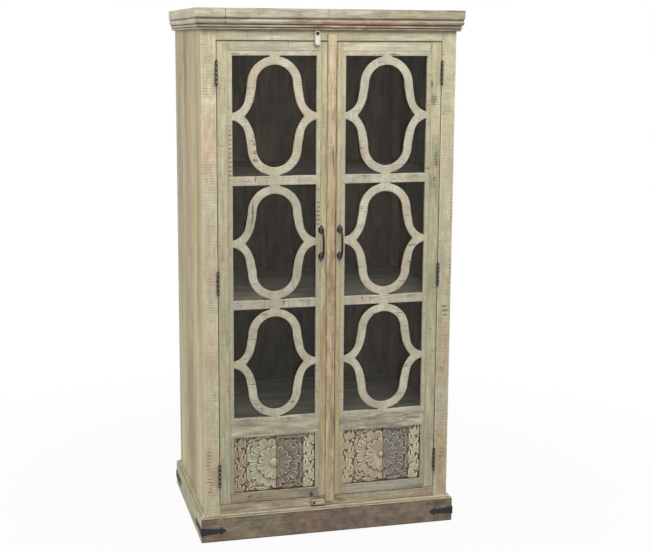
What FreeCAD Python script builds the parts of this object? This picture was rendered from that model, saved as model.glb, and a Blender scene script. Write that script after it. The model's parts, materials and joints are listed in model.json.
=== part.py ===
import FreeCAD, Part
import math
import os

# A two-door display cabinet of reclaimed wood: plinth, post-and-panel carcass, moulded cornice,
# glazed doors with ogee fretwork over carved panels. All lengths are in millimetres.
# +Z is up, the doors face -Y, and the origin lies on the floor under the middle of the whole box.

V = FreeCAD.Vector

# Overall sizes
height = 1830.0
carcass_width = 886.0
carcass_depth = 610.0

# Plinth
plinth_height = 94.0
plinth_step = 17.5
plinth_bevel = 8.0
plinth_board = 60.0

# Iron corner straps on the plinth
strap_width = 28.0
strap_neck_width = 13.0
strap_thickness = 2.0
strap_reach = 88.0
strap_side_reach = 130.0
strap_head_length = 22.0
strap_head_width = 28.0
strap_level = 40.0
stud_radius = 4.0
stud_height = 2.0

# Carcass
post = 50.0
side_thickness = 18.0
back_thickness = 12.0
board_thickness = 18.0
rail_thickness = 25.0
shelf_thickness = 20.0
shelf_setback = 6.0
cleat_size = 20.0
stop_width = 20.0
stop_height = 60.0
stop_lap = 22.0
side_planks = 3
back_planks = 5

# Cornice: outline as shares of its overhang and its height, from the carcass outwards.
# An entry with two points is an arc through the first to the second.
cornice_height = 70.0
cornice_overhang = 22.5
cornice_shares = (
    ((0.42, 0.0),),
    ((0.56, 0.05), (0.42, 0.10)),
    ((0.48, 0.115),),
    ((0.70, 0.175), (0.52, 0.235)),
    ((0.56, 0.25),),
    ((0.84, 0.31), (0.86, 0.46)),
    ((0.80, 0.50),),
    ((0.88, 0.55),),
    ((1.0, 0.60),),
    ((1.0, 1.0),),
    ((0.0, 1.0),),
)

# Doors
door_gap = 2.0
meeting_gap = 3.0
door_thickness = 25.0
top_rail_face = 34.0
bottom_rail_face = 33.0
stile_width = 37.5
door_top_rail = 33.5
lock_rail = 55.0
door_bottom_rail = 36.0
meeting_line = 37.0
carved_height = 200.0

# Fretwork and glass
fret_border = 14.0
fret_rail = 30.5
fret_thickness = 14.0
glass_thickness = 4.0
bead_width = 9.0
pane_shares = (0.340, 0.334, 0.326)

# Ogee outline of one pane in one quarter, as shares of the pane's half width and half height
neck_share = 0.121
inner_lobe_shares = ((0.0, 0.853), (0.300, 0.765), (0.439, 0.500))
inner_waist_share = (0.491, 0.300)
inner_flare_shares = ((0.588, 0.125), (0.713, 0.0))
outer_lobe_shares = ((neck_share, 0.979), (0.445, 0.858), (0.644, 0.510))
outer_waist_share = (0.699, 0.280)
outer_flare_shares = ((0.803, 0.135), (1.0, 0.058))

# Carved panels: four glued blocks each
carved_recess = 1.5
carved_thickness = 20.0
carved_relief = 8.0
carved_joint_shares = (0.15, 0.52, 0.855)
flower_centre_share = 0.495
# Rings of petals: radius, petal radius, rise as shares of the half height, half height and relief
petal_ring_shares = ((0.73, 0.20, 0.40), (0.42, 0.17, 0.70))
petal_counts = (14, 12)
button_share = 0.18
leaf_count = 4
leaf_width_share = 0.62
leaf_length_share = 0.88
leaf_rise_share = 0.5

# Cover strip on the left door
strip_width = 31.0
strip_offset = -1.0
strip_proud = 10.0
strip_over_top = 23.0
strip_over_bottom = 17.0
strip_edge_share = 0.45
strip_clearance = 0.5

# Hinges
hinge_height = 80.0
hinge_top_inset = 104.0
hinge_bottom_inset = 104.0
hinge_middle_share = 0.4914
knuckles = 5
barrel_radius = 5.0
pin_radius = 2.0
pin_clearance = 0.1
pin_tip = 3.0
leaf_thickness = 1.2
leaf_depth = 24.0
hinge_clearance = 0.35

# Handles
handle_level = 1040.0
handle_offset = 33.0
handle_reach = 40.0
handle_length = 130.0
handle_leaf_width = 22.0
handle_leaf_length = 34.0
handle_plate = 3.0
handle_bar_radius = 4.0
handle_bend = 14.0

# Turn buttons
button_width = 19.0
button_length = 50.0
button_thickness = 10.0
button_clearance = 0.6
top_button_x = -51.0
bottom_button_x = -56.0
screw_radius = 2.5
screw_head_radius = 4.5
screw_head = 2.0
screw_grip = 14.0
screw_clearance = 0.1

# One overrun for every cut
over = 5.0

# Working lines
half = carcass_width / 2
front_reach = max(handle_reach, cornice_overhang, plinth_step + strap_thickness)
back_y = (carcass_depth + front_reach) / 2
face_y = back_y - carcass_depth
door_back = face_y + door_thickness
cornice_base = height - cornice_height
board_base = height - board_thickness
door_top = cornice_base - top_rail_face - door_gap
door_bottom = plinth_height + bottom_rail_face + door_gap
inside = half - side_thickness
back_front = back_y - back_thickness
post_line = half - post
outer_edge = post_line - door_gap
fret_outer = outer_edge - stile_width
fret_inner = meeting_line
fret_top = door_top - door_top_rail
carved_bottom = door_bottom + door_bottom_rail
carved_top = carved_bottom + carved_height
fret_bottom = carved_top + lock_rail
meet_x = strip_width / 2 - strip_offset
axis_y = face_y - barrel_radius - hinge_clearance
axis_a = post_line - door_gap / 2
top_hinge = door_top - hinge_top_inset
bottom_hinge = door_bottom + hinge_bottom_inset
middle_hinge = bottom_hinge + hinge_middle_share * (top_hinge - bottom_hinge)
hinge_levels = (top_hinge, middle_hinge, bottom_hinge)
top_button_z = cornice_base - button_width / 2 - button_clearance
bottom_button_z = plinth_height + bottom_rail_face / 2


def box(x0, x1, y0, y1, z0, z1):
    """A box between six planes."""
    return Part.makeBox(x1 - x0, y1 - y0, z1 - z0, V(x0, y0, z0))


def bar(side, a0, a1, y0, y1, z0, z1):
    """A box whose X places are distances from the middle towards one side."""
    lo, hi = sorted((side * a0, side * a1))
    return box(lo, hi, y0, y1, z0, z1)


def fuse(shapes):
    """One solid from touching shapes."""
    return shapes[0].multiFuse(shapes[1:]).removeSplitter()


def path(start, entries, place):
    """Line and arc edges from a start through entries of one point or two."""
    edges = []
    last = place(*start)
    for entry in entries:
        end = place(*entry[-1])
        if len(entry) == 1:
            edges.append(Part.LineSegment(last, end).toShape())
        else:
            edges.append(Part.Arc(last, place(*entry[0]), end).toShape())
        last = end
    return edges


def face_of(edges):
    """A flat face from edges in any order."""
    return Part.Face(Part.Wire(Part.__sortEdges__(edges)))


def polygon(points):
    """A flat face through points."""
    return Part.Face(Part.makePolygon(list(points) + [points[0]]))


def cylinder_y(radius, x, y0, y1, z):
    """A round bar along Y."""
    return Part.makeCylinder(radius, y1 - y0, V(x, y0, z), V(0, 1, 0))


def mitred(section, outreach, inner, z0, z1):
    """A moulding round the front and sides, cut into three mitred lengths."""
    def front(d, z):
        return V(-half - outreach - over, face_y - d, z)

    def left(d, z):
        return V(-half - d, face_y - outreach - over, z)

    long_x = carcass_width + 2 * (outreach + over)
    long_y = back_y - face_y + outreach + over
    front_bar = section(front).extrude(V(long_x, 0, 0))
    left_bar = section(left).extrude(V(0, long_y, 0))
    far = outreach + over
    corner = V(-half - far, face_y - far, z0)
    heel = V(-half + inner, face_y + inner, z0)
    up = V(0, 0, z1 - z0)
    middle = polygon([corner, V(half + far, face_y - far, z0), V(half - inner, face_y + inner, z0), heel])
    wing = polygon([corner, heel, V(-half + inner, back_y, z0), V(-half - far, back_y, z0)])
    left_piece = left_bar.common(wing.extrude(up))
    return front_bar.common(middle.extrude(up)), left_piece, mirrored(left_piece)


def mirrored(shape):
    """The same shape on the other side of the middle."""
    return shape.mirror(V(0, 0, 0), V(1, 0, 0))


def plinth_section(place):
    """Upright board with a bevelled top edge."""
    inner = plinth_step - plinth_board
    points = [(inner, 0), (plinth_step, 0), (plinth_step, plinth_height - plinth_bevel),
              (plinth_step - plinth_bevel, plinth_height), (inner, plinth_height)]
    return polygon([place(d, z) for d, z in points])


def cornice_section(place):
    """Fascia over a round and two beads."""
    def scaled(d, z):
        return place(d * cornice_overhang, cornice_base + z * cornice_height)

    edges = path((0.0, 0.0), cornice_shares, scaled)
    edges.append(Part.LineSegment(scaled(0.0, 1.0), scaled(0.0, 0.0)).toShape())
    return face_of(edges)


def plinth():
    """Three mitred boards and a plain back."""
    inner = plinth_board - plinth_step
    front, left, right = mitred(plinth_section, plinth_step, inner, 0, plinth_height)
    back = box(inner - half, half - inner, back_y - plinth_board, back_y, 0, plinth_height)
    return {"plinth_front": front, "plinth_left": left, "plinth_right": right, "plinth_back": back}


def arrow_outline(reach, place):
    """A tapered strap that ends in an arrow head."""
    neck = reach - strap_head_length
    root, waist, head = strap_width / 2, strap_neck_width / 2, strap_head_width / 2
    points = [(0, -root), (neck, -waist), (neck, -head), (reach, 0), (neck, head), (neck, waist), (0, root)]
    return polygon([place(a, strap_level + z) for a, z in points])


def strap_pair():
    """Left-hand straps: one round the front corner, one on the side at the back."""
    face_x = -half - plinth_step
    front_y = face_y - plinth_step
    front = arrow_outline(strap_reach + strap_thickness,
                          lambda a, z: V(face_x - strap_thickness + a, front_y, z))
    front = front.extrude(V(0, -strap_thickness, 0))
    side = arrow_outline(strap_side_reach, lambda a, z: V(face_x, front_y + a, z))
    side = side.extrude(V(-strap_thickness, 0, 0))
    back = arrow_outline(strap_side_reach, lambda a, z: V(face_x, back_y - a, z))
    back = back.extrude(V(-strap_thickness, 0, 0))
    stud_a, side_stud_a = strap_reach / 2, strap_side_reach / 2
    out_x = face_x - strap_thickness
    studs = [stud(V(face_x + stud_a, front_y - strap_thickness, strap_level), V(0, -1, 0)),
             stud(V(out_x, front_y + side_stud_a, strap_level), V(-1, 0, 0))]
    back_stud = stud(V(out_x, back_y - side_stud_a, strap_level), V(-1, 0, 0))
    return [fuse([front, side] + studs), fuse([back, back_stud])]


def stud(at, direction):
    """A low round nail head."""
    return Part.makeCone(stud_radius, stud_radius / 2, stud_height, at, direction)


def straps():
    """The straps of both sides."""
    pair = strap_pair()
    return Part.makeCompound(pair + [mirrored(s) for s in pair])


def posts():
    """Four corner posts, the front ones mortised for the hinge leaves."""
    out = {}
    for side, name in ((-1, "left"), (1, "right")):
        front = bar(side, post_line, half, face_y, face_y + post, plinth_height, board_base)
        for level in hinge_levels:
            front = front.cut(bar(side, post_line - over, post_line + leaf_thickness, face_y - over,
                                  face_y + leaf_depth, level - hinge_height / 2, level + hinge_height / 2))
        out["post_front_" + name] = front
        out["post_back_" + name] = bar(side, post_line, half, back_y - post, back_y, plinth_height, board_base)
    return out


def planks(count, lo, hi, make):
    """Boards side by side between two lines."""
    step = (hi - lo) / count
    return Part.makeCompound([make(lo + i * step, lo + (i + 1) * step) for i in range(count)])


def side_panel(side):
    """Upright planks between the posts, flush outside."""
    return planks(side_planks, face_y + post, back_y - post,
                  lambda y0, y1: bar(side, inside, half, y0, y1, plinth_height, board_base))


def notched_board(y0, z0, z1):
    """A level board between the sides, cut round the posts."""
    board = box(-inside, inside, y0, back_front, z0, z1)
    for side in (-1, 1):
        board = board.cut(bar(side, post_line, half, face_y, face_y + post, z0 - over, z1 + over))
        board = board.cut(bar(side, post_line, half, back_y - post, back_y, z0 - over, z1 + over))
    return board


def pane_levels():
    """Bottom and top of the three panes, from the top one down."""
    clear = fret_top - fret_bottom - 2 * fret_border - 2 * fret_rail
    top = fret_top - fret_border
    levels = []
    for share in pane_shares:
        levels.append((top - share * clear, top))
        top -= share * clear + fret_rail
    return levels


def shelf_levels():
    """Top faces of the shelves: behind the two fret rails and behind the lock rail."""
    panes = pane_levels()
    rail_middles = [panes[0][0] - fret_rail / 2, panes[1][0] - fret_rail / 2, fret_bottom - lock_rail / 2]
    return [z + shelf_thickness / 2 for z in rail_middles]


def inside_pieces():
    """Boards, shelves, their cleats and the batten that the doors shut against."""
    front = door_back + shelf_setback
    out = {"bottom_board": notched_board(face_y + rail_thickness, plinth_height, plinth_height + board_thickness),
           "top_board": box(-half, half, face_y, back_y, board_base, height)}
    cleats = []
    for name, top in zip(("upper", "middle", "lower"), shelf_levels()):
        base = top - shelf_thickness
        out["shelf_" + name] = notched_board(front, base, top)
        for side in (-1, 1):
            cleats.append(bar(side, inside - cleat_size, inside, face_y + post, back_y - post,
                              base - cleat_size, base))
    out["shelf_cleats"] = Part.makeCompound(cleats)
    out["back_panel"] = planks(back_planks, -post_line, post_line,
                               lambda x0, x1: box(x0, x1, back_front, back_y, plinth_height, board_base))
    stop_base = door_top - stop_lap
    stop = box(-fret_outer, fret_outer, door_back, door_back + stop_width, stop_base, stop_base + stop_height)
    out["door_stop"] = stop.cut(box(-half, half, door_back - over, door_back + strip_clearance,
                                    stop_base - over, door_top + door_gap))
    return out


def front_rails():
    """Rails above and below the doors, bored for the turn-button screws."""
    rail_back = face_y + rail_thickness
    top = box(-post_line, post_line, face_y, rail_back, door_top + door_gap, board_base)
    bottom = box(-post_line, post_line, face_y, rail_back, plinth_height, door_bottom - door_gap)
    bore = screw_radius + screw_clearance / 2
    top = top.cut(cylinder_y(bore, top_button_x, face_y - over, face_y + screw_grip, top_button_z))
    bottom = bottom.cut(cylinder_y(bore, bottom_button_x, face_y - over, face_y + screw_grip, bottom_button_z))
    return {"front_top_rail": top, "front_bottom_rail": bottom}


def turn_button(x, z, tail):
    """A round-ended wooden button bored at its pivot; tail is the way that it points."""
    y1 = face_y - button_clearance
    y0 = y1 - button_thickness
    radius = button_width / 2
    reach = button_length - button_width
    far_x, far_z = x + tail[0] * reach, z + tail[1] * reach
    wide_x, wide_z = tail[1] * radius, tail[0] * radius
    corners = [V(x - wide_x, y0, z - wide_z), V(x + wide_x, y0, z + wide_z),
               V(far_x + wide_x, y0, far_z + wide_z), V(far_x - wide_x, y0, far_z - wide_z)]
    arm = polygon(corners).extrude(V(0, button_thickness, 0))
    ends = [cylinder_y(radius, x, y0, y1, z), cylinder_y(radius, far_x, y0, y1, far_z)]
    return fuse([arm] + ends).cut(cylinder_y(screw_radius + screw_clearance, x, y0 - over, y1 + over, z))


def button_screw(x, z):
    """A round-headed screw through a turn button into its rail."""
    head_back = face_y - button_clearance - button_thickness - screw_clearance
    shank = cylinder_y(screw_radius, x, head_back, face_y + screw_grip, z)
    head = cylinder_y(screw_head_radius, x, head_back - screw_head, head_back, z)
    return fuse([shank, head])


def buttons():
    """Both turn buttons and their screws."""
    screws = [button_screw(top_button_x, top_button_z), button_screw(bottom_button_x, bottom_button_z)]
    return {"top_turn_button": turn_button(top_button_x, top_button_z, (0, -1)),
            "bottom_turn_button": turn_button(bottom_button_x, bottom_button_z, (1, 0)),
            "latch_screws": Part.makeCompound(screws)}


def hinge_leaf(side, level, own, inner):
    """One leaf with its knuckles; inner leaves lie on the door, the others on the post."""
    base = level - hinge_height / 2
    if inner:
        lo, hi = outer_edge - leaf_thickness, outer_edge
    else:
        lo, hi = post_line, post_line + leaf_thickness
    pieces = [bar(side, lo, hi, face_y, face_y + leaf_depth, base, base + hinge_height)]
    step = hinge_height / knuckles
    bore = Part.makeCylinder(pin_radius + pin_clearance, hinge_height + 2 * over,
                             V(side * axis_a, axis_y, base - over))
    for i in own:
        z0 = base + i * step + hinge_clearance / 2
        z1 = base + (i + 1) * step - hinge_clearance / 2
        pieces.append(Part.makeCylinder(barrel_radius, z1 - z0, V(side * axis_a, axis_y, z0)))
        pieces.append(bar(side, lo, hi, axis_y, face_y + leaf_thickness, z0, z1))
    return fuse(pieces).cut(bore)


def hinge_pin(side, level):
    """A pin with small rounded tips."""
    length = hinge_height + 2 * pin_tip
    return Part.makeCylinder(pin_radius, length, V(side * axis_a, axis_y, level - length / 2))


def hinges():
    """Frame leaves of both sides and all the pins."""
    own = range(0, knuckles, 2)
    out = {}
    for side, name in ((-1, "left"), (1, "right")):
        leaves = [hinge_leaf(side, z, own, False) for z in hinge_levels]
        out[name + "_hinge_frame_leaves"] = Part.makeCompound(leaves)
    out["hinge_pins"] = Part.makeCompound([hinge_pin(s, z) for s in (-1, 1) for z in hinge_levels])
    return out


def door_frame(side, free):
    """Stiles and rails of one leaf; free is its meeting edge."""
    hinge_stile = bar(side, fret_outer, outer_edge, face_y, door_back, door_bottom, door_top)
    for level in hinge_levels:
        hinge_stile = hinge_stile.cut(bar(side, outer_edge - leaf_thickness, outer_edge + over, face_y - over,
                                          face_y + leaf_depth, level - hinge_height / 2,
                                          level + hinge_height / 2))
    return {"hinge_stile": hinge_stile,
            "meeting_stile": bar(side, free, fret_inner, face_y, door_back, door_bottom, door_top),
            "top_rail": bar(side, fret_inner, fret_outer, face_y, door_back, fret_top, door_top),
            "lock_rail": bar(side, fret_inner, fret_outer, face_y, door_back, carved_top, fret_bottom),
            "bottom_rail": bar(side, fret_inner, fret_outer, face_y, door_back, door_bottom, carved_bottom)}


def quarter_edges(start, entries, place):
    """The edges of one quarter, repeated in all four."""
    edges = []
    for sx in (1, -1):
        for sz in (1, -1):
            edges += path(start, entries, lambda a, b, sx=sx, sz=sz: place(sx * a, sz * b))
    return edges


def ogee_ring(middle, half_w, low, high):
    """The ogee bar of one pane, with necks to the rails and cusps to the borders."""
    level, half_h = (low + high) / 2, (high - low) / 2
    through = V(0, fret_thickness, 0)

    def place(a, b):
        return V(middle + a * half_w, face_y, level + b * half_h)

    inner = quarter_edges(inner_lobe_shares[0], (inner_lobe_shares[1:], (inner_waist_share,), inner_flare_shares),
                          place)
    neck = (neck_share, 1.0)
    outer = quarter_edges(neck, (outer_lobe_shares[:1], outer_lobe_shares[1:], (outer_waist_share,),
                                 outer_flare_shares), place)
    edge = outer_flare_shares[-1][1]
    for s in (1, -1):
        outer.append(Part.LineSegment(place(-neck_share, s), place(neck_share, s)).toShape())
        outer.append(Part.LineSegment(place(s, -edge), place(s, edge)).toShape())
    return face_of(outer).extrude(through).cut(face_of(inner).extrude(through))


def fret_tiers(side):
    """Three boards of fretwork, one to a pane, stacked in the door."""
    out = {}
    middle = side * (fret_inner + fret_outer) / 2
    half_w = (fret_outer - fret_inner) / 2 - fret_border
    panes = pane_levels()
    back = face_y + fret_thickness
    for i, name in enumerate(("fret_upper", "fret_middle", "fret_lower")):
        low, high = panes[i]
        top = fret_top if i == 0 else high
        base = fret_bottom if i == len(panes) - 1 else low - fret_rail
        board = bar(side, fret_inner, fret_outer, face_y, back, base, top)
        pane = box(middle - half_w, middle + half_w, face_y - over, back + over, low, high)
        out[name] = fuse([board.cut(pane), ogee_ring(middle, half_w, low, high)])
    return out


def glazing(side):
    """The glass behind the fretwork and the beads behind the glass."""
    front = face_y + fret_thickness
    back = front + glass_thickness
    beads = [bar(side, fret_inner, fret_inner + bead_width, back, door_back, fret_bottom, fret_top),
             bar(side, fret_outer - bead_width, fret_outer, back, door_back, fret_bottom, fret_top)]
    for z in (fret_bottom, fret_top - bead_width):
        beads.append(bar(side, fret_inner + bead_width, fret_outer - bead_width, back, door_back,
                         z, z + bead_width))
    return {"glass": bar(side, fret_inner, fret_outer, front, back, fret_bottom, fret_top),
            "glazing_beads": Part.makeCompound(beads)}


def flower(x, z, half_h, front, base):
    """Rings of overlapping petals round a button."""
    pieces = []
    for (ring, petal, rise), count in zip(petal_ring_shares, petal_counts):
        top = base - rise * carved_relief
        pieces.append(cylinder_y(ring * half_h, x, top, base, z))
        for i in range(count):
            turn = 2 * math.pi * (i + 1 / 2) / count
            pieces.append(cylinder_y(petal * half_h, x + ring * half_h * math.cos(turn), top, base,
                                     z + ring * half_h * math.sin(turn)))
    pieces.append(cylinder_y(button_share * half_h, x, front, base, z))
    return fuse(pieces)


def leaf_strip(x0, x1, z0, z1, base):
    """A column of upright leaves."""
    step = (z1 - z0) / leaf_count
    middle, wide = (x0 + x1) / 2, (x1 - x0) * leaf_width_share / 2
    top = base - leaf_rise_share * carved_relief
    leaves = []
    for i in range(leaf_count):
        level = z0 + (i + 1 / 2) * step
        reach = leaf_length_share * step / 2
        low, high = V(middle, top, level - reach), V(middle, top, level + reach)
        edges = [Part.Arc(low, V(middle + s * wide, top, level), high).toShape() for s in (1, -1)]
        leaves.append(face_of(edges).extrude(V(0, base - top, 0)))
    return leaves


def carved_blocks(side):
    """Leaf strip, two half flowers and leaf strip, glued edge to edge."""
    lo, hi = sorted((side * (fret_inner + fret_border), side * (fret_outer - fret_border)))
    front = face_y + carved_recess
    base = front + carved_relief
    back = front + carved_thickness
    level, half_h = (carved_bottom + carved_top) / 2, carved_height / 2
    bloom = flower(lo + flower_centre_share * (hi - lo), level, half_h, front, base)
    lines = [lo] + [lo + share * (hi - lo) for share in carved_joint_shares] + [hi]
    blocks = []
    for i, (x0, x1) in enumerate(zip(lines[:-1], lines[1:])):
        ground = box(x0, x1, base, back, carved_bottom, carved_top)
        space = box(x0, x1, front, base, carved_bottom, carved_top)
        if i in (0, len(lines) - 2):
            blocks.append(fuse([ground] + leaf_strip(x0, x1, carved_bottom, carved_top, base)))
        else:
            blocks.append(fuse([ground, bloom.common(space)]))
    return Part.makeCompound(blocks)


def panel_slips(side):
    """Upright slips beside the carved blocks."""
    spans = ((fret_inner, fret_inner + fret_border), (fret_outer - fret_border, fret_outer))
    return Part.makeCompound([bar(side, a0, a1, face_y, door_back, carved_bottom, carved_top)
                              for a0, a1 in spans])


def handle(side):
    """A forged pull: two pointed leaves joined by a bowed round bar."""
    x = side * handle_offset
    seat = face_y - handle_plate
    bow = face_y - handle_reach + handle_bar_radius
    reach = handle_length / 2 - handle_leaf_length / 2
    bend = handle_bend
    wire = path((seat, -reach), (((bow + bend, -reach),), (bow_mid(bow, -reach, bend), (bow, bend - reach)),
                                 ((bow, reach - bend),), (bow_mid(bow, reach, -bend), (bow + bend, reach)),
                                 ((seat, reach),)),
                lambda y, z: V(x, y, handle_level + z))
    ring = Part.Wire(Part.makeCircle(handle_bar_radius, V(x, seat, handle_level - reach), V(0, 1, 0)))
    grip = Part.Wire(wire).makePipeShell([ring], True, False)
    leaves = [handle_leaf(x, seat, s * handle_length / 2, s * (handle_length / 2 - handle_leaf_length))
              for s in (1, -1)]
    return fuse([grip] + leaves)


def bow_mid(bow, end, bend):
    """The middle of the arc at one end of the bow."""
    drop = abs(bend) * (1 - math.sqrt(1 / 2))
    return (bow + drop, end + math.copysign(drop, bend))


def handle_leaf(x, seat, tip, root):
    """A pointed leaf plate on the stile."""
    low, high = V(x, seat, handle_level + root), V(x, seat, handle_level + tip)
    level = handle_level + (tip + root) / 2
    wide = handle_leaf_width / 2
    edges = [Part.Arc(low, V(x + s * wide, seat, level), high).toShape() for s in (1, -1)]
    return face_of(edges).extrude(V(0, handle_plate, 0))


def cover_strip():
    """A rounded strip on the left leaf, longer than the leaf at both ends."""
    x0, x1 = meet_x - strip_width, meet_x
    z0, z1 = door_bottom - strip_over_bottom, door_top + strip_over_top
    shoulder = face_y - strip_edge_share * strip_proud
    crown = face_y - strip_proud
    edges = path((x0, face_y), (((x0, shoulder),), (((x0 + x1) / 2, crown), (x1, shoulder)),
                                ((x1, face_y),), ((x0, face_y),)), lambda x, y: V(x, y, z0))
    strip = face_of(edges).extrude(V(0, 0, z1 - z0))
    for low, high in ((z0 - over, door_bottom), (door_top, z1 + over)):
        strip = strip.cut(box(x0 - over, x1 + over, face_y - strip_clearance, face_y + over, low, high))
    return strip


def door(side):
    """Every piece of one leaf."""
    free = -meet_x if side < 0 else meet_x + meeting_gap
    out = door_frame(side, free)
    out.update(fret_tiers(side))
    out.update(glazing(side))
    out["panel_slips"] = panel_slips(side)
    out["carved_blocks"] = carved_blocks(side)
    out["handle"] = handle(side)
    own = range(1, knuckles, 2)
    out["hinge_leaves"] = Part.makeCompound([hinge_leaf(side, z, own, True) for z in hinge_levels])
    return out


def build():
    """All the nodes by name."""
    nodes = plinth()
    nodes["corner_straps"] = straps()
    nodes.update(posts())
    nodes["side_left"] = side_panel(-1)
    nodes["side_right"] = side_panel(1)
    nodes.update(inside_pieces())
    nodes.update(front_rails())
    pieces = mitred(cornice_section, cornice_overhang, 0, cornice_base, height)
    nodes.update(zip(("cornice_front", "cornice_left", "cornice_right"), pieces))
    nodes.update(hinges())
    nodes.update(buttons())
    for side, name in ((-1, "left_door_"), (1, "right_door_")):
        nodes.update({name + key: shape for key, shape in door(side).items()})
    nodes["left_door_cover_strip"] = cover_strip()
    return nodes


os.makedirs("parts", exist_ok=True)
for node, shape in build().items():
    shape.exportStep("parts/" + node + ".step")
    print(node, len(shape.Solids), shape.isValid(), round(shape.Volume))
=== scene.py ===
import json
import math
import random

import bmesh
import bpy
import numpy as np
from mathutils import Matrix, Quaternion, Vector


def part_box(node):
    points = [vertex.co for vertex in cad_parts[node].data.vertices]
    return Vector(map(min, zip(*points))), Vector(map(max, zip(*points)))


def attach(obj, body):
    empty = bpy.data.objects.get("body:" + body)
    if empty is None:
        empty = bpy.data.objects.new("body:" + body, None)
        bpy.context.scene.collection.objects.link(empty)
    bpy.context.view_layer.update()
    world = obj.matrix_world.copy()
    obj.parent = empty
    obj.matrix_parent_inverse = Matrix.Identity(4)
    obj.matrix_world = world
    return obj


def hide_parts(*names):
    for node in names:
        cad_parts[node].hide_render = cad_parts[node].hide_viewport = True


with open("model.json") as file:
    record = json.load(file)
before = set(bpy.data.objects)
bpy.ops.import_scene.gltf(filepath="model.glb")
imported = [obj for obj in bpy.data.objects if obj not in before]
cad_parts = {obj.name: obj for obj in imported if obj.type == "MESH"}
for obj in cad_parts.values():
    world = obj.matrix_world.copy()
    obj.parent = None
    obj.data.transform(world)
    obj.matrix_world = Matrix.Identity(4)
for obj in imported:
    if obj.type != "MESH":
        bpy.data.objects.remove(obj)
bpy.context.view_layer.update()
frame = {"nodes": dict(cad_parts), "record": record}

# The dressed model of a two-door display cabinet in limed reclaimed wood. Metres, +Z up, doors face -Y.

RECORD = frame["record"]
MM = 0.001
SEED = 7

# Camera of the photograph, fitted to the cabinet's straight edges in its 650 x 551 frame
IMAGE_WIDTH, IMAGE_HEIGHT = 650, 551
CAMERA_PLACE = (-1.0833, -4.3852, 1.7249)
CAMERA_YAW, CAMERA_PITCH, CAMERA_ROLL = 14.49, -9.668, 0.329
FOCAL_PIXELS = 1248.3
PRINCIPAL_PIXEL = (323.7, 253.7)
SENSOR = 36.0
FAR_LIMIT = 100

# Studio: the floor's whiteness and where it fades, the world's light, and lamps: place, target, size, power
FLOOR_SIZE = 60
FLOOR_WHITE = 0.94
FLOOR_FADE = (0.7, 2.2)
WORLD_LIGHT = 0.45
LAMPS = {"key": ((0.15, -1.75, 3.45), (0.05, -0.3, 1.6), 2.0, 60),
         "left": ((-3.6, 0.3, 3.0), (-0.4, 0, 1.5), 2.2, 30),
         "top": ((0.2, -0.8, 4.2), (0, 0, 0), 3.0, 40)}

# Planes of the faces that carry the stains and some painted light and shade, and the level and reach of the
# gap above the doors, whose edges take painted shade
FRONT, LEFT_SIDE, STRIP_FACE = -0.285, -0.443, -0.295
PLINTH_FACE, FASCIA_FACE, ROUND_FACE = -0.303, -0.307, -0.3
DOOR_TOP_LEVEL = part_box("left_door_hinge_stile")[1].z
GAP_REACH = 4 * MM

# Softened edges, and the widths of the bands along the faces' edges that take the rim colour
BOARD_BEVEL = 1.6 * MM
FRET_BEVEL = 1.5 * MM
PLINTH_BEVEL = 2 * MM
TRIM_BEVEL = 0.6 * MM
IRON_BEVEL = 0.5 * MM
PIN_BEVEL = 0.3 * MM
BEVEL_STEPS = 2
BEVEL_ANGLE = math.radians(30)
SHARP_ANGLE = math.radians(50)
CARVED_ANGLE = math.radians(70)
FLAT_ANGLE = math.radians(0.4)
BOARD_RIM = 5 * MM
FRET_RIM = 4 * MM
# BUTTON_RIM: width of the painted shade round the turn buttons
BUTTON_RIM = 2.5 * MM
WELD = 0.02 * MM

# Lean of a normal that faces a way, and of a sawn edge, a bevel, a ledge and a straight edge
FACING = 0.5
SAWN_LEAN = 0.3
BEVEL_LEAN = 0.97
LEDGE_LEAN = 0.3
STRAIGHT_LEAN = 0.9999

# Hinge knuckles: short edges round their rims, the shares of the radius that hold their skin, the cuts along
# their length, and the part of their front that carries a painted highlight
KNUCKLE_FACETS = (0.5 * MM, 1.0 * MM)
KNUCKLE_RIM_ANGLE = math.radians(80)
KNUCKLE_SKIN = (0.8, 1.05)
KNUCKLE_FRONT = 0.3
BEAD_CUTS = (0.06, 0.16, 0.3, 0.5, 0.7, 0.84, 0.94)
BEAD_ENDS = 0.85
HIGHLIGHT_LENGTH, HIGHLIGHT_WIDTH = 0.45, 0.75


def linear(colour):
    """Linear colour from screen values of 0 to 255."""
    shares = (value / 255 for value in colour)
    return (*(v / 12.92 if v <= 0.04045 else ((v + 0.055) / 1.055) ** 2.4 for v in shares), 1.0)


# Colours that several finishes share, as screen values
GREEN = (180, 178, 140)
PINK = (212, 180, 146)
YELLOW = (206, 194, 140)
GREY = (176, 172, 150)
MAUVE = (150, 134, 124)
STREAK = (116, 98, 74)
DIRT = (92, 74, 54)
# CUT darkens the carving's cuts: painted shade
CUT = (80, 64, 46)
RUST = (160, 104, 74)
BARE = (224, 216, 194)
CHARCOAL = (78, 78, 68)


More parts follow.
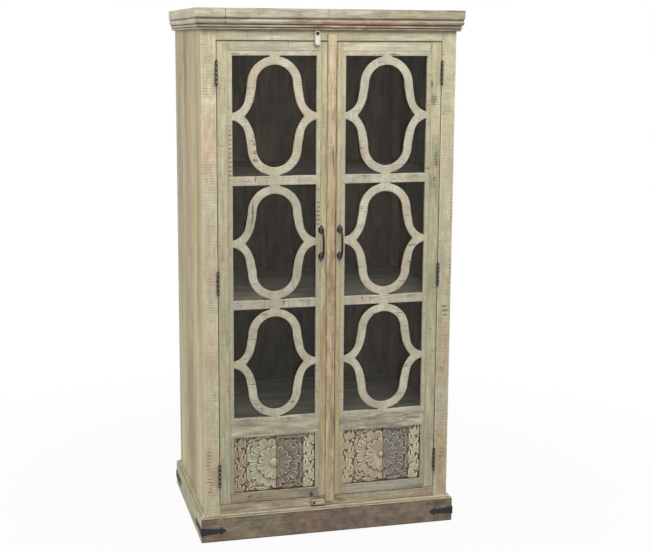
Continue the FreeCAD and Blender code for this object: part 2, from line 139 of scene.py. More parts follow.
class Graph:
    """A material's nodes, written as calls that return sockets."""

    def __init__(self, name):
        self.material = bpy.data.materials.new(name)
        self.material.use_nodes = True
        self.tree = self.material.node_tree
        self.shader = self.tree.nodes["Principled BSDF"]

    def node(self, kind, inputs=None, **settings):
        made = self.tree.nodes.new("ShaderNode" + kind)
        for key, value in settings.items():
            setattr(made, key, value)
        for key, value in (inputs or {}).items():
            self.put(made.inputs[key], value)
        return made

    def put(self, socket, value):
        """Links a socket to another, or sets its value or its colour."""
        if isinstance(value, bpy.types.NodeSocket):
            self.tree.links.new(value, socket)
        else:
            socket.default_value = linear(value) if socket.type == "RGBA" else value

    def place(self):
        return self.node("TexCoord").outputs["Object"]

    def stretch(self, vector, scale, offset=(0, 0, 0)):
        return self.node("Mapping", {"Vector": vector, "Scale": scale, "Location": offset}).outputs["Vector"]

    def noise(self, vector, scale, detail=3.0, rough=0.5, distortion=0.0):
        return self.node("TexNoise", {"Vector": vector, "Scale": scale, "Detail": detail, "Roughness": rough,
                                      "Distortion": distortion}).outputs["Fac"]

    def bands(self, vector, axis, pitch, waver):
        """Wavy lines across an axis, a pitch apart."""
        return self.node("TexWave", {"Vector": vector, "Scale": math.pi / (10 * pitch), "Distortion": waver,
                                     "Detail": 2.0, "Detail Scale": 0.6}, bands_direction=axis).outputs["Fac"]

    def range(self, value, low, high, to_low=0.0, to_high=1.0):
        return self.node("MapRange", {"Value": value, "From Min": low, "From Max": high, "To Min": to_low,
                                      "To Max": to_high}, interpolation_type="SMOOTHSTEP").outputs["Result"]

    def math(self, operation, a, b):
        made = self.node("Math", operation=operation)
        self.put(made.inputs[0], a)
        self.put(made.inputs[1], b)
        return made.outputs[0]

    def times(self, a, b):
        return self.math("MULTIPLY", a, b)

    def mix(self, factor, a, b, blend="MIX"):
        made = self.node("Mix", data_type="RGBA", blend_type=blend)
        self.put(made.inputs[0], factor)
        self.put(made.inputs[6], a)
        self.put(made.inputs[7], b)
        return made.outputs[2]

    def attribute(self, name):
        made = self.node("Attribute", attribute_name=name)
        parts = self.node("SeparateColor", {"Color": made.outputs["Color"]})
        return parts.outputs["Red"], parts.outputs["Green"], parts.outputs["Blue"], made.outputs["Alpha"]

    def blot(self, place, wander, centre, radii):
        """A ragged spot at a place, as a mask. wander is the noise that frays its edge."""
        inverse = tuple(1 / r for r in radii)
        offset = tuple(-c / r for c, r in zip(centre, radii))
        local = self.stretch(place, inverse, offset)
        reach = self.node("VectorMath", {0: local}, operation="LENGTH").outputs["Value"]
        frayed = self.math("ADD", reach, self.range(wander, 0.3, 0.7, -0.6, 0.6))
        return self.range(frayed, 1.1, 0.3)

    def finish(self, colour, roughness, height=None, strength=0.3, depth=1.0 * MM):
        self.put(self.shader.inputs["Base Color"], colour)
        self.put(self.shader.inputs["Roughness"], roughness)
        if height is not None:
            bump = self.node("Bump", {"Height": height, "Strength": strength, "Distance": depth})
            self.put(self.shader.inputs["Normal"], bump.outputs["Normal"])
        return self.material


# Stretch of the pores along the grain, and of the saw's dashes and the smudges across it
ALONG, DASH, ACROSS = 0.05, 0.35, 0.10
SAW_PITCH = 9 * MM
SAW_WAVER, NOTCH_WAVER = 5.0, 1.2
# How far a board's own seed moves its figure, and the size and offset of the layers of old paint
BOARD_SPREAD = {"X": 7.3, "Y": 11.9, "Z": 5.1}
PAINT_LAYERS = ((20, (2.1, 6.3, 4.4)), (13, (3.7, 1.9, 8.3)), (17, (7.9, 3.1, 2.6)))


def along_grain(axis, along=1.0, across=1.0):
    """Stretch of a pattern along and across an axis."""
    return tuple(along if a == axis else across for a in "XYZ")


def wood(name, light, dark, grain, stain=GREY, stain_share=0.45, second=PINK, second_share=0.4, third=YELLOW,
         third_share=0.35, saw=0.5, streaks=0.5, lines=1.0, worn=0.6, smudge=0.4, rim_colour=DIRT, rim_colour_share=0.4,
         depth=1.0, run=0.22, coarse=1.0, rub=BARE, blots=(), hatched=(), groove_shades=()):
    """Limed wood with pores, saw marks, old paint, smudges and worn edges. grain is the axis it runs along.

    stain, second and third are old paint. saw, streaks, smudge and worn are the strength of saw marks, pores,
    dirt and rubbed edges. The colour given for the rims lies in a band along the faces' edges: a painted
    shade round the turn buttons and a painted highlight on the posts. rub colours the edges. lines and depth
    are the strength of the straight grain and of the figure, run is the figure's width to its length, and
    coarse its size.
    blots are spots: stains, and on the posts and the cover strip also painted highlight and shade, given as
    centre, radii, colour and strength. hatched places have notches: centre, radii and pitch. Groove lines are
    painted
    shade: level, half width and strength."""
    g = Graph(name)
    tone, seed, edge, rim = g.attribute("tone")
    here = g.place()
    spread = g.node("CombineXYZ", {axis: g.times(seed, far) for axis, far in BOARD_SPREAD.items()})
    place = g.node("VectorMath", {0: here, 1: spread.outputs["Vector"]}, operation="ADD").outputs["Vector"]
    along = g.stretch(place, along_grain(grain, ALONG))
    loose = g.stretch(place, tuple(s / coarse for s in along_grain(grain, run)))
    across = g.stretch(place, along_grain(grain, across=ACROSS))
    fine = g.noise(along, 150, 5, 0.7, 0.2)
    mottle = g.noise(loose, 60, 5, 0.62, 0.4)
    pores = g.range(g.noise(along, 120, 3, 0.6, 0.3), 0.57, 0.70)
    wander = g.noise(place, 24, 5, 0.65, 0.3)
    fray = g.noise(g.stretch(place, along_grain(grain, run)), 60, 5, 0.7, 0.6)
    patchy = g.range(wander, 0.48, 0.58)

    colour = g.mix(g.range(g.noise(loose, 15, 5, 0.6, 0.6), 0.34, 0.66), light, dark)
    paints = ((stain, stain_share), (second, second_share), (third, third_share))
    for (scale, offset), (paint, share) in zip(PAINT_LAYERS, paints):
        clouds = g.noise(g.stretch(loose, (1, 1, 1), offset), scale, 5, 0.6, 0.8)
        colour = g.mix(g.times(g.range(clouds, 0.46, 0.66), share), colour, paint)
    colour = g.mix(g.times(pores, g.range(wander, 0.40, 0.60, 0.3 * streaks, streaks)), colour, STREAK)
    # Spots: stains, and on the posts and the cover strip also painted highlight and shade
    for centre, radii, paint, strength in blots:
        colour = g.mix(g.times(g.blot(here, fray, centre, radii), strength), colour, paint)
    # Darker lines at given levels: painted shade along groove lines
    level = g.node("SeparateXYZ", {"Vector": here}).outputs["Z"]
    for middle, half, strength in groove_shades:
        line = g.range(g.math("ABSOLUTE", g.math("SUBTRACT", level, middle), 0.0), half, 0.4 * half)
        colour = g.mix(g.times(line, g.range(wander, 0.3, 0.6, 0.6 * strength, strength)), colour, DIRT)

    cluster = g.range(g.noise(g.stretch(place, (1, 1, 1), (9.2, 4.4, 1.3)), 9, 4, 0.6), 0.40, 0.62, 0.25, 1.0)
    dashes = g.range(g.noise(g.stretch(place, along_grain(grain, across=DASH)), 50, 3, 0.6), 0.38, 0.58)
    ladder = g.range(g.bands(place, grain, SAW_PITCH, SAW_WAVER), 0.40, 0.95)
    faint = g.times(g.times(ladder, dashes), g.times(cluster, 0.45))
    gouges = g.times(g.range(g.noise(across, 130, 3, 0.6), 0.62, 0.70), patchy)
    marks = g.times(g.math("MAXIMUM", faint, g.times(gouges, 0.8)), saw)
    for centre, radii, pitch in hatched:
        notch = g.range(g.bands(place, grain, pitch, NOTCH_WAVER), 0.50, 0.85)
        marks = g.math("MAXIMUM", marks, g.times(notch, g.times(g.blot(here, wander, centre, radii), 0.8)))
    colour = g.mix(marks, colour, STREAK)
    dabs = g.range(g.noise(g.stretch(across, (2.6, 2.6, 2.6)), 60, 4, 0.7, 0.4), 0.57, 0.66)
    colour = g.mix(g.times(g.times(dabs, patchy), smudge), colour, DIRT)

    value = g.times(g.range(fine, 0.25, 0.75, 1 - 0.17 * lines, 1 + 0.14 * lines),
                    g.range(mottle, 0.28, 0.72, 1 - 0.18 * depth, 1 + 0.15 * depth))
    value = g.times(value, g.range(tone, 0.0, 1.0, 0.93, 1.05))
    colour = g.mix(1.0, colour, value, "MULTIPLY")
    # A band along the faces' edges in the rim colour: painted shade round the turn buttons, painted highlight
    # on the posts
    rim_band = g.times(g.range(rim, 0.0, 1.0), g.range(fray, 0.34, 0.54))
    colour = g.mix(g.times(rim_band, rim_colour_share), colour, rim_colour)
    rubbed = g.times(edge, g.range(wander, 0.36, 0.54))
    colour = g.mix(g.times(rubbed, worn), colour, rub)

    rough = g.range(fine, 0.2, 0.8, 0.82, 0.62)
    raised = g.math("ADD", g.times(fine, 0.6), g.times(mottle, 0.6))
    height = g.math("SUBTRACT", g.math("SUBTRACT", raised, g.times(pores, 0.5)), marks)
    return g.finish(colour, rough, height, 0.5, 0.8 * MM)


def carved_wood(name, light, dark, stain, stain_share=0.6):
    """Old paint on carving, with painted highlights on the ridges and painted shade in the cuts, as tones of
    the mesh.
    """
    g = Graph(name)
    cavity_shade, _, ridge, _ = g.attribute("tone")
    place = g.place()
    fine = g.noise(g.stretch(place, along_grain("Z", ALONG)), 170, 4, 0.65)
    colour = g.mix(g.range(g.noise(place, 36, 5, 0.65), 0.38, 0.62), light, dark)
    patch = g.range(g.noise(g.stretch(place, (1, 1, 1), (5.1, 2.2, 0.7)), 21, 5, 0.65, 0.6), 0.46, 0.60)
    colour = g.mix(g.times(patch, stain_share), colour, stain)
    # Paler paint on the ridges: a painted highlight
    colour = g.mix(g.times(ridge, 0.75), colour, g.mix(0.5, light, BARE))
    # CUT in the recesses: painted shade
    deep = g.times(cavity_shade, g.range(g.noise(place, 60, 3), 0.2, 0.6, 0.75, 1.0))
    colour = g.mix(deep, colour, CUT)
    colour = g.mix(1.0, colour, g.range(fine, 0.25, 0.75, 0.88, 1.10), "MULTIPLY")
    return g.finish(colour, g.range(fine, 0.2, 0.8, 0.85, 0.65), fine, 0.3, 0.6 * MM)


def iron(name, base, worn, share, metal=0.6, rough=0.36):
    """Forged iron, hammered, with worn patches. rough is its smoothest finish."""
    g = Graph(name)
    place = g.place()
    scale = g.noise(place, 420, 4, 0.6)
    patch = g.range(g.noise(place, 130, 4, 0.6, 0.3), 0.48, 0.64)
    colour = g.mix(g.times(patch, share), base, worn)
    colour = g.mix(1.0, colour, g.range(scale, 0.2, 0.8, 0.75, 1.25), "MULTIPLY")
    g.shader.inputs["Metallic"].default_value = metal
    dents = g.node("TexVoronoi", {"Vector": place, "Scale": 170}, feature="SMOOTH_F1").outputs["Distance"]
    height = g.math("ADD", dents, g.times(scale, 0.35))
    return g.finish(colour, g.range(scale, 0.2, 0.8, rough, rough + 0.2), height, 0.45, 0.6 * MM)


def glass(name):
    """Clear drawn glass with a faint ripple and a film of dust. It mirrors little, to show the inside."""
    g = Graph(name)
    place = g.place()
    ripple = g.noise(g.stretch(place, (1, 1, 0.35)), 9, 2)
    dust = g.range(g.noise(place, 34, 5, 0.65), 0.35, 0.8, 0.02, 0.08)
    g.shader.inputs["Transmission Weight"].default_value = 1.0
    g.shader.inputs["IOR"].default_value = 1.25
    tint = g.mix(g.range(ripple, 0.3, 0.7), (240, 240, 234), (232, 234, 228))
    return g.finish(tint, dust, ripple, 0.05, 1.0 * MM)


def white_rays(tree):
    """1 for the rays that should meet plain white: from the eye, mirrored or through glass."""
    path = tree.nodes.new("ShaderNodeLightPath")
    total = path.outputs["Is Camera Ray"]
    for name in ("Is Glossy Ray", "Is Transmission Ray"):
        either = tree.nodes.new("ShaderNodeMath")
        either.operation = "MAXIMUM"
        tree.links.new(total, either.inputs[0])
        tree.links.new(path.outputs[name], either.inputs[1])
        total = either.outputs[0]
    return total


def floor_paint(name):
    """Pale floor that fades to white away from the cabinet and keeps its shadow."""
    g = Graph(name)
    place = g.place()
    grain = g.noise(place, 40, 3)
    g.finish(g.mix(g.range(grain, 0.3, 0.7), (194, 194, 194), (188, 188, 188)), 0.9)
    away = g.node("VectorMath", {0: place}, operation="LENGTH").outputs["Value"]
    fade = g.times(g.range(away, *FLOOR_FADE, FLOOR_WHITE, 1.0), white_rays(g.tree))
    white = g.node("Emission", {"Color": (255, 255, 255), "Strength": 1.0})
    both = g.node("MixShader", {0: fade, 1: g.shader.outputs["BSDF"], 2: white.outputs["Emission"]})
    g.put(g.tree.nodes["Material Output"].inputs["Surface"], both.outputs["Shader"])
    return g.material


def body_of(node):
    """The body that a CAD node rides on."""
    return next(b for b, nodes in RECORD["behaviour"]["bodies"].items() if node in nodes)


def islands(bm):
    """Groups of joined faces."""
    seen, groups = set(), []
    for start in bm.faces:
        if start in seen:
            continue
        group = [start]
        seen.add(start)
        for face in group:
            near = {other for edge in face.edges for other in edge.link_faces} - seen
            seen |= near
            group += near
        groups.append(group)
    return groups


def add_rims(bm, worn_faces, width):
    """Draws a line inside the flat faces, near their edges, and returns the points that lie within it."""
    flat = [f for f in bm.faces if f not in worn_faces]
    bmesh.ops.inset_region(bm, faces=flat, thickness=width, use_even_offset=True, use_boundary=True)
    return {v for f in flat for v in f.verts}


def paint_tones(bm, worn_faces, inner, rng):
    """Gives each board a tone and a grain offset, and marks its softened edges and the rim beside them."""
    layer = bm.loops.layers.float_color.new("tone")
    for group in islands(bm):
        tone, seed = rng.random(), rng.random()
        for face in group:
            edge = 1.0 if face in worn_faces else 0.0
            for loop in face.loops:
                rim = 0.0 if loop.vert in inner else 1.0
                loop[layer] = (tone, seed, edge, rim)


def mesh_of(bm, node):
    """Built faces as the mesh of a node's piece."""
    mesh = bpy.data.meshes.new(node + "_dressed")
    bm.to_mesh(mesh)
    bm.free()
    return mesh


def add_piece(mesh, node, materials):
    """A mesh as the piece of the model that stands for a CAD node and rides on its body."""
    piece = bpy.data.objects.new(node + "_dressed", mesh)
    bpy.context.scene.collection.objects.link(piece)
    for material in materials:
        mesh.materials.append(material)
    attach(piece, body_of(node))
    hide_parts(node)
    return piece


def soften(bm, width):
    """Rounds the sharp edges and returns the new faces."""
    sharp = [e for e in bm.edges if len(e.link_faces) == 2 and e.calc_face_angle(0) > BEVEL_ANGLE]
    made = bmesh.ops.bevel(bm, geom=sharp, offset=width, segments=BEVEL_STEPS, profile=0.5, affect="EDGES",
                           clamp_overlap=True)
    return set(made["faces"])


def smooth_normals(piece):
    """Smooth shading that keeps large faces flat."""
    piece.data.shade_smooth()
    piece.data.set_sharp_from_angle(angle=SHARP_ANGLE)
    weigh = piece.modifiers.new("normals", "WEIGHTED_NORMAL")
    weigh.keep_sharp = True
    graph = bpy.context.evaluated_depsgraph_get()
    mesh = bpy.data.meshes.new_from_object(piece.evaluated_get(graph))
    piece.modifiers.clear()
    old, piece.data = piece.data, mesh
    bpy.data.meshes.remove(old)


def bead(bm, joint):
    """Swells a hinge's knuckles into beads on a joint's pin. Their fronts take the second material, a painted
    highlight.
    """
    pin = Vector(next(j["pos_m"] for j in RECORD["behaviour"]["joints"] if j["name"] == joint))

    def on_rim(edge):
        level = abs(edge.verts[0].co.z - edge.verts[1].co.z) < WELD
        sharp = len(edge.link_faces) == 2 and edge.calc_face_angle(0) > KNUCKLE_RIM_ANGLE
        return level and sharp and KNUCKLE_FACETS[0] < edge.calc_length() < KNUCKLE_FACETS[1]

    def out(point):
        return (point - pin).xy
    rims = [e.verts[0] for e in bm.edges if on_rim(e)]
    radius = sorted(out(v.co).length for v in rims)[len(rims) // 2]
    inside, outside = (share * radius for share in KNUCKLE_SKIN)
    levels = sorted({round(v.co.z, 5) for v in rims})
    for low, high in zip(levels[::2], levels[1::2]):
        for share in BEAD_CUTS:
            bmesh.ops.bisect_plane(bm, geom=bm.verts[:] + bm.edges[:] + bm.faces[:], dist=WELD,
                                   plane_co=(0, 0, low + share * (high - low)), plane_no=(0, 0, 1))
        for vert in bm.verts:
            place = 2 * (vert.co.z - low) / (high - low) - 1
            front = vert.co.y < pin.y + KNUCKLE_FRONT * radius
            if abs(place) < 1.01 and front and inside < out(vert.co).length < outside:
                vert.co.xy = pin.xy + out(vert.co) * math.sqrt(1 - (BEAD_ENDS * place) ** 2)
        for face in bm.faces:
            middle = face.calc_center_median()
            place = 2 * (middle.z - low) / (high - low) - 1
            # A paler patch on each bead's front: painted highlight
            if abs(place) < HIGHLIGHT_LENGTH and out(middle).y < -HIGHLIGHT_WIDTH * radius:
                face.material_index = 1


def dress(node, materials, bevel=BOARD_BEVEL, choose=None, rim=BOARD_RIM, joint=None):
    """A softened copy of a CAD node in its finish. choose gives a face's material, joint a pin."""
    bm = bmesh.new()
    bm.from_mesh(frame["nodes"][node].data)
    bmesh.ops.remove_doubles(bm, verts=bm.verts, dist=WELD)
    bmesh.ops.dissolve_limit(bm, angle_limit=FLAT_ANGLE, verts=bm.verts, edges=bm.edges)
    if joint:
        bead(bm, joint)
    worn = soften(bm, bevel)
    inner = add_rims(bm, worn, rim) if rim else set(bm.verts)
    bm.normal_update()
    paint_tones(bm, worn, inner, random.Random(f"{SEED} {node}"))
    if choose:
        for face in bm.faces:
            face.material_index = choose(face)
    smooth_normals(add_piece(mesh_of(bm, node), node, materials))


# Carved panels: sizes in millimetres from the panel's lower left corner. Blocks keep a gap between them.
CARVE_STEP = 1.2
CARVE_RELIEF = 11.0
CARVE_GROUND = 0.8
PLAIN_BAND = 7.5
BLOCK_ROUND = 1.0
PANEL_GAP = 1.0
JOINT_SHARES = (0.15, 0.52, 0.855)
STRIP_LEAVES = 6
FLOWER_SHARE = 0.495
OUTER_PETALS = {"inner": 40, "outer": 95, "count": 16, "low": 0.6, "top": 8.0}
INNER_PETALS = {"outer": 63, "count": 14, "low": 2.0, "top": 10.4}
BUTTON_TOP, BUTTON_OVERLAP, BUTTON_LOBES = 10.8, 6, 7
# Leaves of a corner scroll: root, bend and tip from the corner, width, height and lobes
SCROLL_LEAVES = (((7, 92), (0, 56), (14, 30), 9.0, 6.8, 3), ((80, 7), (48, 0), (29, 13), 9.0, 6.8, 3),
                 ((40, 40), (32, 24), (23, 24), 8.5, 6.2, 2), ((18, 64), (22, 46), (29, 32), 7.0, 5.8, 2),
                 ((62, 18), (46, 22), (33, 29), 7.0, 5.8, 2))
# Tone of a block's hidden back: deep in shade, with no ridge
BACK_TONE = (0.8, 0.5, 0.0, 1.0)


def rise(values, low, high):
    """Smooth step from 0 to 1."""
    t = np.clip((values - low) / (high - low), 0, 1)
    return t * t * (3 - 2 * t)


def blurred(field, reach):
    """A field smoothed over a reach given in grid steps."""
    span = int(3 * reach) + 1
    weights = np.exp(-0.5 * (np.arange(-span, span + 1) / reach) ** 2)
    weights /= weights.sum()

    def blur(row):
        return np.convolve(np.pad(row, span, mode="edge"), weights, "valid")
    return np.apply_along_axis(blur, 1, np.apply_along_axis(blur, 0, field))


class Relief:
    """A carved surface: heights over a grid, where the highest form at each point shows."""

    def __init__(self, width, height):
        self.xs, self.zs = (np.linspace(0, size, round(size / CARVE_STEP) + 1) for size in (width, height))
        self.x, self.z = np.meshgrid(self.xs, self.zs, indexing="ij")
        self.height = np.full_like(self.x, CARVE_GROUND)

    def lay(self, form):
        np.maximum(self.height, form, out=self.height)

    def knob(self, x, z, radius, top):
        away = np.hypot(self.x - x, self.z - z) / radius
        self.lay(top * np.sqrt(np.clip(1 - away ** 2, 0, 1)))

    def leaf(self, spine, width, top, lobes):
        """A leaf along a bent spine, with a midrib, side veins and a lobed edge."""
        low, high = spine.min(0) - width - 2, spine.max(0) + width + 2
        ix = slice(*np.searchsorted(self.xs, (low[0], high[0])))
        iz = slice(*np.searchsorted(self.zs, (low[1], high[1])))
        x, z = self.x[ix, iz], self.z[ix, iz]
        if x.size == 0:
            return
        gaps = (x[..., None] - spine[:, 0]) ** 2 + (z[..., None] - spine[:, 1]) ** 2
        near = gaps.argmin(-1)
        away = np.sqrt(np.take_along_axis(gaps, near[..., None], -1)[..., 0])
        along = near / (len(spine) - 1)
        reach = width * np.sin(math.pi * np.clip(along, 0.02, 0.985) ** 0.75) ** 0.7
        reach *= 1 + 0.16 * np.cos(2 * math.pi * lobes * along)
        q = away / np.maximum(reach, 0.3)
        form = top * np.sqrt(np.clip(1 - q ** 2, 0, 1)) * (0.75 + 0.25 * along)
        form -= 0.36 * top * np.exp(-(away / 1.5) ** 2) * (q < 1)
        form -= 0.08 * top * (0.5 + 0.5 * np.cos(2 * math.pi * (2 * lobes * along + 0.9 * q))) * (q < 1)
        self.height[ix, iz] = np.maximum(self.height[ix, iz], form)

    def petals(self, x, z, inner, outer, count, turn, low, top):
        """A ring of fluted petals that rise towards a scalloped edge."""
        dx, dz = self.x - x, self.z - z
        away, angle = np.hypot(dx, dz), np.arctan2(dz, dx)
        place = (angle + turn) * count / (2 * math.pi) + 0.10 * np.sin(3 * angle + turn)
        number = np.floor(place)
        off = place - number - 0.5
        uneven = 1 + 0.05 * np.sin(number * 2.7 + turn * 9)
        edge = inner + (outer * uneven - inner) * (0.78 + 0.22 * np.sqrt(np.clip(1 - (2 * off) ** 2, 0, 1)))
        t = np.clip((away - inner) / (edge - inner), 0, 1)
        form = low + (top - low) * t ** 0.9
        form -= (top - low) * 0.34 * np.exp(-(off / 0.20) ** 2) * t
        form += 0.8 * np.cos(2 * math.pi * 3 * off) * t * (1 - 0.4 * np.abs(2 * off))
        width = 2 * math.pi * away / count
        form -= (0.6 + 1.5 * t) * np.exp(-((0.5 - np.abs(off)) * width / 1.5) ** 2)
        form *= rise(edge - away, -0.2, 3.0)
        self.lay(np.where(away < edge, form, 0))


def bend(a, b, c):
    """Points of a curve from a to c that is drawn towards b."""
    a, b, c = (np.array(p, float) for p in (a, b, c))
    t = np.linspace(0, 1, 60)[:, None]
    return (1 - t) ** 2 * a + 2 * t * (1 - t) * b + t ** 2 * c


def curl(centre, radius, start, turns):
    """Points of a scroll that winds in to its centre."""
    t = np.linspace(0, 1, 80)
    angle = start + 2 * math.pi * turns * t
    return np.array(centre) + (radius * (1 - 0.8 * t) * np.array([np.cos(angle), np.sin(angle)])).T


def leaf_strip(relief, left, right, height, rng):
    """A winding stem with leaves that curl out of it on alternate sides, and buds between them."""
    middle, half = (left + right) / 2, (right - left) / 2
    phase = rng.random()

    def stem(lift):
        return middle + 0.3 * half * math.sin(2 * math.pi * (STRIP_LEAVES / 4 * lift / height + phase))

    def at(side, share, lift):
        return (middle + side * share * half + rng.uniform(-2, 2), lift + rng.uniform(-2, 2))
    levels = np.linspace(3, height - 3, 120)
    relief.leaf(np.column_stack([[stem(level) for level in levels], levels]), 4.0, 6.0, 5)
    for number in range(STRIP_LEAVES):
        side = 1 if number % 2 else -1
        foot = (number - 0.1) / STRIP_LEAVES * height
        root = (stem(foot), foot + 2)
        relief.leaf(bend(root, at(side, 1.25, foot + 6), at(side, 0.62, foot + 40)), 10.0, 8.0, 2)
        relief.leaf(bend(root, at(side, 0.10, foot + 22), at(side, 0.34, foot + 40)), 7.5, 9.2, 2)
        relief.leaf(bend(root, at(-side, 0.5, foot + 8), at(-side, 0.66, foot + 24)), 7.0, 7.4, 1)
        relief.knob(*at(-side, 0.84, foot + 30), rng.uniform(4.5, 6.5), 6.6)


def corner_scroll(relief, corner, sx, sz, rng):
    """A scroll and its leaves in a corner between strip and flower."""
    def at(x, z):
        return (corner[0] + sx * (x + rng.uniform(-2.5, 2.5)), corner[1] + sz * (z + rng.uniform(-2.5, 2.5)))
    relief.leaf(curl(at(16, 17), 13, math.atan2(sz, -sx), -1.2 * sx * sz), 5.0, 6.4, 1)
    relief.knob(*at(16, 17), 5.0, 7.2)
    for *points, width, top, lobes in SCROLL_LEAVES:
        relief.leaf(bend(*(at(*point) for point in points)), width, top, lobes)
    relief.knob(*at(5, 6), 5.5, 5.4)


def carve(width, height, button, rng):
    """The relief of one carved panel in millimetres. button is the radius of the flower's middle."""
    relief = Relief(width, height)
    joints = [share * width for share in JOINT_SHARES]
    leaf_strip(relief, 0, joints[0], height, rng)
    leaf_strip(relief, joints[2], width, height, rng)
    for sx, x in ((1, joints[0]), (-1, joints[2])):
        for sz, z in ((1, 0), (-1, height)):
            corner_scroll(relief, (x, z), sx, sz, rng)
    x, z = FLOWER_SHARE * width, height / 2
    relief.petals(x, z, turn=rng.random(), **OUTER_PETALS)
    relief.petals(x, z, button - BUTTON_OVERLAP, turn=rng.random(), **INNER_PETALS)
    relief.knob(x, z, button, BUTTON_TOP)
    away, turn = np.hypot(relief.x - x, relief.z - z), np.arctan2(relief.z - z, relief.x - x)
    relief.height += 0.9 * np.cos(BUTTON_LOBES * turn) * rise(away, 3, 8) * rise(button - 2 - away, 0, 3)
    return relief


def panel_mesh(name, relief, box, plain_top):
    """Closed carved blocks inside a CAD node's box. plain_top is the plain band's height on the third."""
    low, high = box
    base, top, rows = low.y + CARVE_RELIEF * MM, relief.zs[-1], len(relief.zs)
    height = blurred(np.clip(relief.height, 0, CARVE_RELIEF), 0.55)
    lines = [0.0] + [share * relief.xs[-1] for share in JOINT_SHARES] + [relief.xs[-1]]
    height[(relief.x > lines[2]) & (relief.x < lines[3]) & (relief.z > top - plain_top)] = PLAIN_BAND
    # Painted shade in the recesses and on the low ground, and a painted highlight on the ridges, kept as
    # tones
    around = blurred(height, 2.8)
    cavity_shade = np.clip((around - height) / 2.0, 0, 1) + 0.4 * rise(-height, -2.2, 0)
    ridge = np.clip((height - around) / 1.6, 0, 1)
    zs = np.interp(relief.zs, (0, top), (PANEL_GAP, top - PANEL_GAP))
    verts, faces, slots, tones = [], [], [], []
    for number, (x0, x1) in enumerate(zip(lines[:-1], lines[1:])):
        inner = [i for i, x in enumerate(relief.xs) if x0 < x < x1]
        columns, first = len(inner), len(verts)
        xs = np.interp(relief.xs[inner], (relief.xs[inner[0]], relief.xs[inner[-1]]),
                       (x0 + PANEL_GAP / 2, x1 - PANEL_GAP / 2))
        for i, x in zip(inner, xs):
            for j, z in enumerate(zs):
                rim = min(x - x0, x1 - x, z, top - z) - PANEL_GAP / 2
                drop = BLOCK_ROUND * (1 - min(rim / BLOCK_ROUND, 1)) ** 2
                verts.append((low.x + x * MM, base - (height[i, j] - drop) * MM, low.z + z * MM))
                # The blocks' rounded rims get more painted shade
                tones.append((min(cavity_shade[i, j] + 0.5 * drop, 1.0), 0.5, ridge[i, j], 1.0))
        for k in range(columns - 1):
            for j in range(rows - 1):
                a = first + k * rows + j
                faces.append((a, a + rows, a + rows + 1, a + 1))
        border = ([first + k * rows for k in range(columns)]
                  + [first + (columns - 1) * rows + j for j in range(1, rows)]
                  + [first + k * rows + rows - 1 for k in range(columns - 2, -1, -1)]
                  + [first + j for j in range(rows - 2, 0, -1)])
        start, total = len(verts), len(border)
        verts += [(verts[v][0], high.y, verts[v][2]) for v in border]
        tones += [BACK_TONE] * total
        for n in range(total):
            m = (n + 1) % total
            faces.append((border[m], border[n], start + n, start + m))
        faces.append(tuple(start + n for n in range(total - 1, -1, -1)))
        slots += [number] * (len(faces) - len(slots))
    mesh = bpy.data.meshes.new(name)
    mesh.from_pydata(verts, [], faces)
    mesh.polygons.foreach_set("material_index", slots)
    layer = mesh.color_attributes.new("tone", "FLOAT_COLOR", "POINT")
    layer.data.foreach_set("color", np.array(tones, float).ravel())
    mesh.shade_smooth()
    mesh.set_sharp_from_angle(angle=CARVED_ANGLE)
    return mesh


def carved_panel(side, button, plain_top, paints):
    """A door's carved blocks, each in its own old paint."""
    node = side + "_door_carved_blocks"
    low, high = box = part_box(node)
    rng = random.Random(f"{SEED} {side} carving")
    relief = carve((high.x - low.x) / MM, (high.z - low.z) / MM, button, rng)
    mesh = panel_mesh(node + "_dressed", relief, box, plain_top)
    finishes = [carved_wood(f"carving_{side}_{i}", *paint) for i, paint in enumerate(paints)]
    add_piece(mesh, node, finishes)


# Pull: sizes in metres inside the CAD node's box, and the grids of its leaves and its bar
PULL_LEAF_LENGTH = 34 * MM
PULL_PLATE = 3 * MM
PULL_BAR = 4 * MM
PULL_BAR_ENDS = 2.8 * MM
PULL_POWER = 2 / 2.8
LEAF_ROWS, LEAF_COLUMNS = 22, 12
BAR_STEPS, BAR_SIDES = 40, 14


def leaf_point(t, s, wide):
    """A leaf plate's place across and its thickness, at t from tip to root and s from edge to edge."""
    half = wide * max(math.sin(math.pi * t ** 1.3), 0.03) ** 0.85
    dome = 0.55 * (1 - s * s) * math.sin(math.pi * t) ** 0.5
    vein = 0.12 * math.cos(2 * math.pi * (4 * t + abs(s))) * (1 - abs(s))
    rib = 0.30 * math.exp(-(s / 0.16) ** 2) * math.sin(math.pi * t)
    return s * half, PULL_PLATE * min(max(0.15 + dome + vein + rib, 0.25), 1)


def pull_leaf(bm, x, seat, tip, root, wide):
    """A domed, ribbed leaf plate with a pointed tip, closed by a flat back."""
    rows, columns = LEAF_ROWS, LEAF_COLUMNS
    front = []
    for i in range(rows + 1):
        t = i / rows
        row = [leaf_point(t, 2 * j / columns - 1, wide) for j in range(columns + 1)]
        front.append([bm.verts.new((x + across, seat - thick, tip + t * (root - tip)))
                      for across, thick in row])
    rim = front[0] + [row[columns] for row in front[1:]]
    rim += front[rows][columns - 1::-1] + [front[i][0] for i in range(rows - 1, 0, -1)]
    back = [bm.verts.new((v.co.x, seat, v.co.z)) for v in rim]

    def face(*corners):
        return bm.faces.new(corners[::-1] if tip > root else corners)
    for i in range(rows):
        for j in range(columns):
            made = face(front[i][j], front[i][j + 1], front[i + 1][j + 1], front[i + 1][j])
            # The middle columns take the second, paler iron: a painted highlight along the midrib
            made.material_index = 1 if abs(j + 0.5 - columns / 2) < 2 else 0
    for n in range(len(rim)):
        m = (n + 1) % len(rim)
        face(rim[m], rim[n], back[n], back[m])
    face(*back[::-1])


